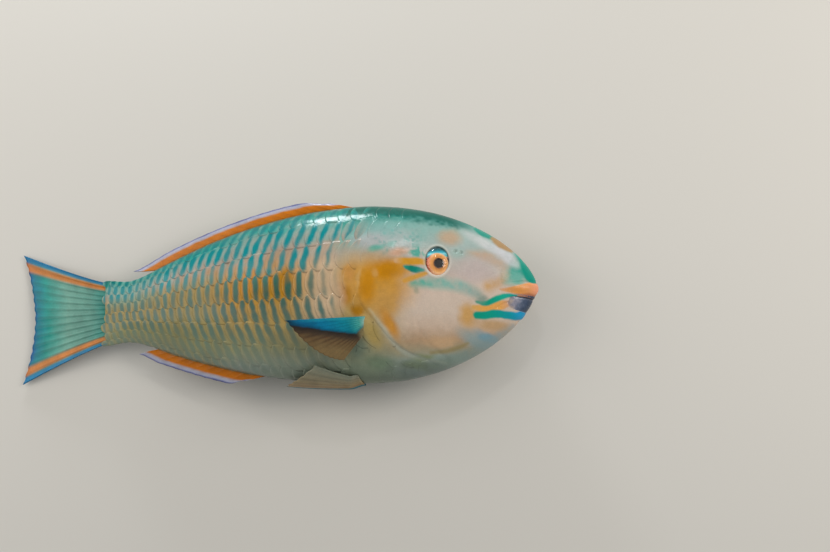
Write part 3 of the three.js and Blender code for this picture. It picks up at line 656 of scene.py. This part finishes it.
# Upright bars of pigment, half a pitch wide. turn and v are places along and across a scale.
def barColours(s, y, turn, v, points):
    height = stopHeight(s, y)
    drift = mottle(points, scalePatch) - 0.5
    grain, sway = (mottle(points + step, scaleGrain) - 0.5 for step in (0.7, 0))
    w = turn + 0.3 * sway
    half = 0.25 + 0.16 * drift - 0.1 * clamp01(np.abs(v)) ** 4 - 0.1 * fall(104, 128, s)
    bar = fall(half - 0.1, half + 0.12, np.abs(w - 0.48))
    bar = bar * fall(1.0, 1.2, np.abs(v) + 0.3 * grain)
    dark = stopColour(height + 6 * drift, barStops)
    pale = stopColour(height + 8 * drift + 5 * grain, gapStops)
    front, rear, stalk = fall(112, 134, s), ease(158, 186, s), ease(200, 230, s)
    below = fall(14, 22, height)
    glow = bump(height - 10, 9) * ease(0.02, 0.2, drift) * ease(108, 122, s)  # single scales of full orange
    for key, share in (("glow", 0.8 * glow), ("greyGap", 0.55 * ease(0.0, 0.25, grain) * ease(10, 20, height)),
                       ("frontGap", 0.85 * front * ease(-30, -14, height) * below),
                       ("highGap", 0.7 * front * ease(14, 20, height) * fall(22, 29, height)),
                       ("rearGap", 0.6 * rear * below), ("stalkGap", 0.6 * stalk * ease(-2, 8, y))):
        pale = blend(pale, scalePaints[key], share)
    dark = blend(dark, scalePaints["rearBar"], 0.5 * rear * below)
    dark = blend(dark, scalePaints["frontBar"], 0.5 * front * below)
    ink = (0.95 + 0.9 * drift) * (1 - 0.4 * fall(-36, -20, height))
    ink = ink * ease(96, 112 + 6 * below, s + 10 * drift)
    ink = np.maximum(ink, ease(84, 100, s) * ease(20, 26, height) * 0.9)
    return blend(pale, dark, clamp01(bar * ink)) * (1 + 0.35 * drift)[..., None]


# One closed plate from a grid: its points, faces, unwrap and which points are on top.
def plateTemplate():
    bm = bmesh.new()
    uv = bm.loops.layers.uv.new("OFBake")
    bmesh.ops.create_grid(bm, x_segments=coat["along"], y_segments=coat["across"], size=0.5, calc_uvs=True)
    bmesh.ops.solidify(bm, geom=list(bm.faces), thickness=1.0)
    bmesh.ops.recalc_face_normals(bm, faces=bm.faces)
    spots = np.array([v.co[:] for v in bm.verts])
    middle = (spots[:, 2].max() + spots[:, 2].min()) / 2
    faces, unwrap = [], []
    for f in bm.faces:
        faces.append([v.index for v in f.verts])
        low = [loop.vert.co.z < middle for loop in f.loops]
        turns = [math.atan2(loop.vert.co.y, loop.vert.co.x) / (2 * math.pi) + 0.5 for loop in f.loops]
        for loop, under, spin in zip(f.loops, low, turns):
            if all(low):
                unwrap.append((0.84 + 0.06 * (loop.vert.co.x + 0.5), loop.vert.co.y + 0.5))
            elif any(low):
                spin = spin - 1 if spin > 0.9 and min(turns) < 0.1 else spin
                unwrap.append((0.97 if under else 0.93, 0.02 + 0.96 * max(spin, 0)))
            else:
                unwrap.append((0.8 * loop[uv].uv[0], loop[uv].uv[1]))
    bm.free()
    return spots, faces, np.array(unwrap), spots[:, 2] > middle


template, templateFaces, templateUv, isTop = plateTemplate()


def plateCoat(name, hand, chosen):
    plates = []
    for index in chosen:
        arc, phase = coat["rows"][index]
        centres = np.interp(np.arange(coat["first"], int(coatCount[-1])) + phase, coatCount, coatGrid)
        for place, centre in enumerate(centres):
            yc = float(ringPoint(np.array(centre), girthAngle(arc))[0])
            first = float(np.interp(yc, coatEdge[:, 1], coatEdge[:, 0])) - 1
            if first < centre < coat["last"]:
                plates.append((chosen.index(index), place, arc, phase, centre, yc))
    line, place, arc, phase, centre, yc = (v[:, None] for v in np.array(plates).T)
    many = len(plates)
    pitch = np.interp(centre, coatGrid, coatPitch)
    long = pitch * coat["overlap"] * rng.uniform(0.97, 1.04, (many, 1))
    tall = coat["rowHeight"] * coat["spread"] * rng.uniform(0.97, 1.03, (many, 1))
    raised = rng.uniform(-coat["uneven"], coat["uneven"], (many, 1))
    a, b = template[:, 0] + 0.5, template[:, 1] * 2
    x = long * (a * (1 - 0.3 * np.abs(b) ** 2.6) - 1) + pitch * 0.5
    arcs = arc + b * tall / 2 * (0.72 + 0.28 * ease(0, 0.4, a))
    angle = girthAngle(arcs)
    y = ringPoint(centre + x, angle)[0]
    s = np.clip(centre + x - bowAt(y) + bowAt(yc), 0.1, fish["stalkEnd"] + 4)
    y, side = ringPoint(s, angle)
    side = side * hand
    # Scales stand out less near the head, but in full on the nape.
    fade = np.maximum(0.2 + 0.8 * ease(92, 145, centre), ease(24, 34, yc) * ease(60, 74, centre))
    lean = rng.uniform(-1, 1, (many, 1)) * coat["tilt"]
    lift = coat["rootLift"] + (coat["edgeLift"] - coat["rootLift"]) * a - 0.16 * np.abs(b) ** 3
    lift = lift + raised + lean * b * a
    endRim, sideRim = ease(coat["rimFrom"][0], 1, a), ease(coat["rimFrom"][1], 1, np.abs(b))
    rim = endRim + (1 - endRim) * sideRim  # the rim is drawn out thin
    thick = coat["thick"] * (1 - coat["rimThin"] * rim)
    lift = lift * fade - thick * ~isTop - coat["rootSink"] * (1 - a) ** 3
    up, out = outward(s, y, side)
    points = toFrame(s, y + lift * up, side + lift * out)
    points[..., 2] = np.maximum(points[..., 2], (coat["floor"] - np.minimum(lift, 0.42)) / 1000)
    flat = toFrame(s, y, side)
    turn = (np.interp(s + bowAt(y) - bowAt(yc), coatGrid, coatCount) - phase + 0.5) % 1
    v = (arcs - arc) / (coat["rowHeight"] / 2)
    bars = barColours(s, y, turn, v, flat)
    body = paintSkin(s.ravel(), y.ravel(), flat.reshape(-1, 3)).reshape(flat.shape)
    share = ease(98, 109, s + 10 * (mottle(flat, scalePatch) - 0.5))
    share = np.maximum(share, ease(84, 96, s) * ease(22, 30, y)) * (1 - 0.8 * fall(-44, -32, y))
    most = place.max() + 1
    cell = np.stack([place / most, line / len(chosen)], -1)
    unwrap = cell + (0.02 + templateUv) * np.array([0.96 / most, 0.96 / len(chosen)])
    faces = (np.array(templateFaces)[None] + len(template) * np.arange(many)[:, None, None]).reshape(-1, 4)
    mesh = bpy.data.meshes.new(name)
    mesh.from_pydata(points.reshape(-1, 3).tolist(), [], faces.tolist())
    mesh.uv_layers.new(name="OFBake").data.foreach_set("uv", unwrap.astype(np.float32).ravel())
    setPaint(mesh, blend(body, bars, share).reshape(-1, 3))
    addPiece(mesh, scaleMaterial, "skin")
    print("  of", many, "scales")


for sideName, hand in sides:
    plateCoat("scales_upper_" + sideName, hand, [0, 1, 2, 3])
    plateCoat("scales_lower_" + sideName, hand, [4, 5, 6, 7])


# Fins: a membrane with its rays as ridges. In point(a, b), a goes from the first ray to the last and b
# out along a ray.
finForm = {"membrane": 0.5, "taper": 0.45, "rayWidth": 0.13, "rayTaper": 0.75, "split": 0.15, "shadeWidth": 0.2,
           "floor": (0.25, 0.05)}  # how near the table the upper and the under face may come


def finPiece(name, f, point, colour):
    columns, steps = f["cells"] * (f["rays"] - 1), f["steps"]
    mesh, i, j, face = gridMesh(name + "_membrane", columns, steps, walled=True)
    a, b = np.meshgrid(np.arange(columns + 1) / columns, np.arange(steps + 1) / steps, indexing="ij")
    nearest = np.rint(a * (f["rays"] - 1))
    offset = a * (f["rays"] - 1) - nearest
    hard = nearest < f["spines"]
    sheet = point(a, b * (1 - f["web"] * (1 - np.cos(2 * math.pi * offset)) / 2))
    normal = sheetNormal(sheet)
    split = np.where(hard, 0, finForm["split"] * ease(0.35, 1, b))  # soft rays fork in two towards the edge
    ray = bump(np.abs(offset) - split, finForm["rayWidth"]) * (1 - finForm["rayTaper"] * b) * f["ridge"]
    ray = ray * (1 + np.where(hard, 0.4, 0.12 * np.cos(b * steps * 1.6)))  # soft rays have joints
    half = (finForm["membrane"] * (1 - finForm["taper"] * b) + ray) / 2
    points = sheet[i, j] + normal[i, j] * (face * half[i, j])[:, None] / 1000
    upper = face * np.sign(normal[i, j, 2]) > 0
    points[:, 2] = np.maximum(points[:, 2], np.where(upper, *finForm["floor"]) / 1000)
    setPoints(mesh, points)
    flat = sheet[i, j]
    tone = 1 + 0.35 * (mottle(flat, 0.004) - 0.5) - f["shade"] * bump(offset[i, j], finForm["shadeWidth"])
    setPaint(mesh, colour(a[i, j], b[i, j], flat) * tone[:, None])
    tidyMesh(mesh)
    addPiece(mesh, finMaterial, "fin", name)


edgeFins = {
    "dorsal_fin": {"from": 97, "to": 214, "rays": 19, "spines": 9, "height": 6.8, "rake": 15, "droop": 1.2,
                   "up": 1},
    "anal_fin": {"from": 150, "to": 213, "rays": 12, "spines": 3, "height": 7.6, "rake": 13, "droop": 1.4,
                 "up": -1},
}
for f in edgeFins.values():
    f.update(cells=8, steps=20, web=0.015, ridge=0.25, shade=0.05)
edgeFinStops = [(0, "#3a8f78"), (0.07, "#94601c"), (0.16, "#bc6a0e"), (0.58, "#c26e14"), (0.64, "#b58c74"),
                (0.7, "#aaa2ac"), (0.86, "#a9adc2"), (0.93, "#7a7ea6"), (1, "#4c5284")]


def edgeColour(a, b, flat):
    return stopColour(b + 0.1 * (mottle(flat, 0.006) - 0.5), edgeFinStops)


for name, f in edgeFins.items():
    def edgePoint(a, b, f=f):
        root = f["from"] + (f["to"] - f["from"]) * a
        tall = f["height"] * (0.55 + 0.45 * ease(0, 0.16, a)) * (1 - 0.25 * ease(0.8, 1, a))
        s = root + f["rake"] * b
        edge = backHeight(s) if f["up"] > 0 else bellyDepth(s)
        return toFrame(s, f["up"] * (edge - 0.3 + (tall + 0.6) * b), -f["droop"] * b * b)
    finPiece(name, f, edgePoint, edgeColour)

tailFin = {"rays": 15, "spines": 0, "cells": 8, "steps": 40, "web": 0.012, "ridge": 0.8, "shade": 0.2,
           "rootHalf": 17.4, "tipHalf": 38, "fork": 8, "ripple": 0.8, "band": "#d07a26", "margin": "#1478a8"}
tailStops = [(0, "#2f8f84"), (0.25, "#5f9688"), (0.55, "#6fa595"), (0.8, "#1f9489"), (0.94, "#0f7f90"),
             (1, "#1a5f9a")]


def tailPoint(a, b):
    v = 2 * a - 1
    reach = fish["length"] - tailFin["fork"] * (1 - np.abs(v) ** 1.6)
    start = fish["stalkEnd"] - 1
    s = start + (reach - start) * b
    y = v * (tailFin["rootHalf"] + (tailFin["tipHalf"] - tailFin["rootHalf"]) * b ** 1.15)
    return toFrame(s, y, tailFin["ripple"] * b * (1 + np.sin(5 * v + 1)) * 0.5)


def tailColour(a, b, flat):
    v = np.abs(2 * a - 1)
    colours = stopColour(b + 0.1 * (mottle(flat, 0.008) - 0.5), tailStops)
    colours = blend(colours, tailFin["band"], 0.9 * ease(0.7, 0.78, v) * fall(0.86, 0.92, v))
    return blend(colours, tailFin["margin"], 0.95 * ease(0.88, 0.94, v))


finPiece("tail_fin", tailFin, tailPoint, tailColour)

pectoral = {"station": 90, "length": 41, "rays": 13, "spines": 1, "cells": 8, "steps": 36, "web": 0.015,
            "shade": 0.12, "shrink": 0.6, "shrinkPower": 0.95, "fanPower": 1.15}
pectoralSides = {
    "right": {"top": -13.2, "bottom": -22.5, "upAngle": -1, "downAngle": 48, "lift": 9, "hand": 1,
              "foot": 0.5, "ridge": 0.28},
    "left": {"top": -18.5, "bottom": -26, "upAngle": 3, "downAngle": 24, "lift": 1.2, "hand": -1,
             "foot": 0.75, "ridge": 0.3},
}
# The membrane's colour by depth under the band: darkest next to the band as painted shade, browner further
# down.
shadedMembraneStops = [(0, "#2a2623"), (2.5, "#40342a"), (6, "#5a4630"), (12, "#7a6644")]
blueStops = [(0, "#9fc9bb"), (0.08, "#3aa39a"), (0.25, "#08899c"), (0.55, "#017aa0"), (0.85, "#04608a"),
             (1, "#0c3b52")]
bandHeights = ([0, 0.18, 0.45, 0.75, 1], [5.2, 8.6, 7.2, 4.8, 2.6])  # places along it, its height there


def pectoralRay(a, b):
    return pectoral["length"] * (1 - pectoral["shrink"] * a ** pectoral["shrinkPower"]) * b


# A thick blue leading band, darker along its lower edge, over a thin brown membrane painted darkest just under
# the band as painted shade; drop is how far below the first ray a place lies.
def pectoralColour(a, b, flat):
    grain = mottle(flat, 0.003) - 0.5
    shown = pectoralSides["right"]  # both fins are painted by the spread of the one that shows
    fan = np.radians((shown["downAngle"] - shown["upAngle"]) * a ** pectoral["fanPower"])
    drop = (shown["top"] - shown["bottom"]) * a + pectoralRay(a, b) * np.sin(fan)
    under = drop - np.interp(b, *bandHeights)
    rays = 0.5 + 0.5 * np.cos(2 * math.pi * a * (pectoral["rays"] - 1))
    colours = stopColour(under + 2 * grain, shadedMembraneStops)
    colours = blend(colours, "#a98a5a", 0.24 * rays * ease(1, 6, under))
    colours = blend(colours, "#9c8f62", 0.7 * fall(0.0, 0.22, b))
    blue = stopColour(b, blueStops)
    blue = blend(blue, "#00425c", 0.6 * ease(-2.2, 0, under + grain))
    # A paler blue along the band's top edge, over its first half: a painted highlight.
    blue = blend(blue, "#2aa7b4", 0.45 * fall(0.5, 2.2, drop + grain) * fall(0.6, 1, b))
    return blend(colours, blue, 0.97 * fall(-0.5, 0.5, under + grain))


for sideName, pose in pectoralSides.items():
    def pectoralPoint(a, b, pose=pose):
        fan = (pose["downAngle"] - pose["upAngle"]) * a ** pectoral["fanPower"]
        slant, ray = np.radians(pose["upAngle"] + fan), pectoralRay(a, b)
        s = pectoral["station"] + 1.5 * a + ray * np.cos(slant)
        y = pose["top"] + (pose["bottom"] - pose["top"]) * a - ray * np.sin(slant) * (1 - 0.1 * b)
        off = pose["foot"] + pose["lift"] * (1 - 0.55 * a) * (0.25 * ease(0, 0.2, b) + 0.75 * b)
        return onFlank(s, y, pose["hand"], off)
    finPiece("pectoral_fin_" + sideName, {**pectoral, **pose}, pectoralPoint, pectoralColour)

pelvic = {"station": 95, "length": 43, "rays": 6, "spines": 1, "cells": 10, "steps": 30, "web": 0.02,
          "ridge": 0.6, "shade": 0.2, "from": -84, "to": -64, "spread": 16}
pelvicStops = [(0, "#4a8a94"), (0.08, "#a08058"), (0.4, "#9c8a68"), (1, "#868a78")]
for sideName, hand in sides:
    def pelvicPoint(a, b, hand=hand):
        s = pelvic["station"] + 2 * a + pelvic["length"] * (1 - 0.5 * a ** 1.4) * b
        angle = np.radians(pelvic["from"] + (pelvic["to"] - pelvic["from"]) * a + pelvic["spread"] * a * b)
        y, side = ringPoint(s, angle)
        off = 0.5 + 1.9 * ease(0, 0.2, b) + 1.6 * b
        return toFrame(s, y + off * np.sin(angle), hand * (side + off * np.cos(angle)))
    finPiece("pelvic_fin_" + sideName, pelvic, pelvicPoint, lambda a, b, flat: stopColour(a, pelvicStops))


# Eyes: an iris ball inside a clear cornea, seated in the orbit
irisStops = [(2.2, "#2b2a2b"), (2.5, "#5e4636"), (2.8, "#b87c40"), (3.4, "#c98a48"), (4.3, "#d99c58"),
             (5.0, "#e6b688"), (5.6, "#dba47c"), (6.4, "#b4623c")]
crownStops = [(2.6, "#2f98a0"), (3.6, "#7fc4cc"), (4.4, "#2a94a6"), (5.8, "#0a5058"), (8, "#06282a")]
for sideName, hand in sides:
    centre = onFlank(eye["s"], eye["y"], hand, 0)
    along = onFlank(eye["s"] + 4, eye["y"], hand, 0) - onFlank(eye["s"] - 4, eye["y"], hand, 0)
    across = onFlank(eye["s"], eye["y"] + 4, hand, 0) - onFlank(eye["s"], eye["y"] - 4, hand, 0)
    along /= np.linalg.norm(along)
    outwards = np.cross(across, along) * hand
    outwards /= np.linalg.norm(outwards)
    across = np.cross(along, outwards)
    across *= np.sign(across[1])
    flush = math.sqrt(1 - (eye["sunk"] / eye["deep"]) ** 2)  # how much narrower the ball is at the skin
    for name, wall, material in (("eyeball_", eye["wall"], irisMaterial), ("cornea_", 0.0, corneaMaterial)):
        bm = bmesh.new()
        bmesh.ops.create_uvsphere(bm, u_segments=eye["around"], v_segments=eye["rings"], radius=1.0)
        mesh = finishedMesh(bm, name + sideName)
        v = spotsOf(mesh)
        x, y = v[:, 0] * (eye["wide"] / flush - wall), v[:, 1] * (eye["tall"] / flush - wall)
        z = v[:, 2] * (eye["deep"] - wall)
        iris = np.hypot(x, y - eye["irisY"])
        pupil = np.hypot(x - eye["pupilS"], (y - eye["pupilY"]) * 0.95)
        if wall:
            dish = eye["dish"] * fall(eye["pupil"], eye["iris"], pupil)
            dish += eye["pupilDish"] * fall(2.0, 2.5, pupil)
            z = z - np.where(v[:, 2] > 0, dish, 0)
            angle = np.arctan2(y - eye["irisY"], x)
            fibre = 0.5 + 0.5 * np.sin(angle * eye["fibres"] + 3 * np.sin(angle * 5))
            colours = stopColour(pupil, irisStops) * (1 - 0.12 * fibre)[:, None]
            rear = ease(2.2, 5, x) * fall(4, 8, np.abs(y + 1))
            colours = blend(colours, eye["rear"], 0.8 * rear * ease(3.0, 4.6, iris))
            over = ease(-0.2, 0.2, iris - eye["iris"])
            colours = blend(colours, stopColour(y, crownStops), over * ease(1.5, 2.5, y))
            colours = blend(colours, eye["rim"], over * fall(1.0, 2.2, y))
            setPaint(mesh, colours)
        local = np.stack([x, y, z - eye["sunk"]], -1) / 1000
        setPoints(mesh, centre + local @ np.stack([along, across, outwards]))
        tidyMesh(mesh)
        addPiece(mesh, material, "eye", "eye_" + sideName)

# Beak: two plates of fused teeth between the lips, flush with them at the front
beak = {"upper": (-3.9, -6.0), "lower": (-6.4, -14.2), "reach": 15.3, "tilt": 0.17, "turn": 7, "lift": -0.36,
        "thick": 1.0, "around": 120, "high": 22, "teeth": 26, "notch": 0.2, "knob": 0.1, "bulge": 0.4,
        "edge": "#8d8890"}
beakStops = [(0, "#2c3d52"), (0.35, "#2e3e56"), (0.55, "#3f4d66"), (0.72, "#6a7388"), (0.86, "#938f9c"),
             (0.97, "#b3a298")]
frontTable = np.linspace(0, 40, 4000)


# t runs round the snout from the left flank (-1) to the right (1).
def snoutPoint(t, y):
    front = np.interp(np.abs(y), bellyDepth(frontTable), frontTable)
    s = front + (beak["reach"] - front) * t * t
    return s, toFrame(s, y, np.sign(t) * sideAt(s, y))


for name in ("upper", "lower"):
    top, bottom = beak[name]
    nx, ny = beak["around"], beak["high"]
    mesh, i, j, face = gridMesh("beak_" + name, nx, ny, walled=True)
    t, k = np.meshgrid(np.linspace(-0.985, 0.985, nx + 1), np.linspace(0, 1, ny + 1), indexing="ij")
    cut = 1 - k if name == "upper" else k  # towards the edge that meets the other plate
    y = bottom + (top - bottom) * k
    notch = beak["notch"] if name == "lower" else -beak["notch"]
    y = y + notch * (np.abs(np.sin(t * beak["teeth"])) - 0.6) * ease(0.7, 1, cut)
    y = y + beak["tilt"] * (snoutPoint(t, y)[0] - beak["turn"])
    sheet = snoutPoint(t, y)[1]
    normal = sheetNormal(sheet)
    normal *= np.sign(normal[nx // 2, ny // 2, 0])
    files = 0.5 + 0.5 * np.cos(t * 2 * beak["teeth"] + math.pi * np.rint(k * 7))  # upright files of teeth
    knobs = beak["knob"] * files * (0.5 + 0.5 * np.cos(k * 14 * math.pi))
    bulge = beak["lift"] + knobs + beak["bulge"] * np.sin(k * math.pi) ** 0.5 - 0.7 * ease(0.86, 1, np.abs(t))
    setPoints(mesh, sheet[i, j] + normal[i, j] * (bulge[i, j] - beak["thick"] * (face < 0))[:, None] / 1000)
    colours = stopColour(np.abs(t) + 0.25 * (mottle(sheet, 0.002) - 0.5), beakStops)
    # A paler line along the edge where the two plates meet: a painted highlight.
    colours = blend(colours, beak["edge"], 0.25 * bump(cut - 0.98, 0.08))
    setPaint(mesh, colours[i, j])
    tidyMesh(mesh)
    addPiece(mesh, beakMaterial, "beak", name + "_beak")

# Floor and light: a pale table under soft daylight from beyond the fish's back
studio = {"floor": "#d6d2cb", "sky": "#e6eaec", "skyStrength": 0.46}
bm = bmesh.new()
bmesh.ops.create_grid(bm, x_segments=1, y_segments=1, size=2.5)
floorMesh = finishedMesh(bm, "floor")
floorMesh.materials.append(newMaterial("matt table top", {
    "Base Color": (*linear(studio["floor"]), 1), "Roughness": 0.85})[0])
floor = bpy.data.objects.new("floor", floorMesh)
bpy.context.collection.objects.link(floor)

world = bpy.data.worlds.new("studio")
bpy.context.scene.world = world
world.use_nodes = True
background = world.node_tree.nodes["Background"]
background.inputs["Color"].default_value = (*linear(studio["sky"]), 1)
background.inputs["Strength"].default_value = studio["skyStrength"]

lamps = [  # place, aimed at, width and height, power in watts, colour
    ("window", (-0.08, 0.62, 0.09), (0.04, 0.03, 0.03), (0.17, 0.12), 2.3, "#f6fbff"),
    ("lantern", (0.12, 0.52, 0.62), (0.08, 0.02, 0.04), (0.07, 0.07), 0.35, "#ffffff"),
    ("left lamp", (-0.65, 0.22, 0.50), (0.02, 0.0, 0.02), (0.6, 0.6), 2.8, "#fffaf2"),
    ("right lamp", (0.78, 0.20, 0.52), (0.06, 0.0, 0.02), (0.42, 0.42), 3.6, "#fffaf2"),
]
for name, place, aim, size, power, colour in lamps:
    lamp = bpy.data.lights.new(name, "AREA")
    lamp.shape, lamp.energy, lamp.color = "RECTANGLE", power, linear(colour)
    lamp.size, lamp.size_y = size
    holder = bpy.data.objects.new(name, lamp)
    holder.location = place
    holder.rotation_euler = (Vector(aim) - Vector(place)).to_track_quat("-Z", "Y").to_euler()
    bpy.context.collection.objects.link(holder)
print("stage set")
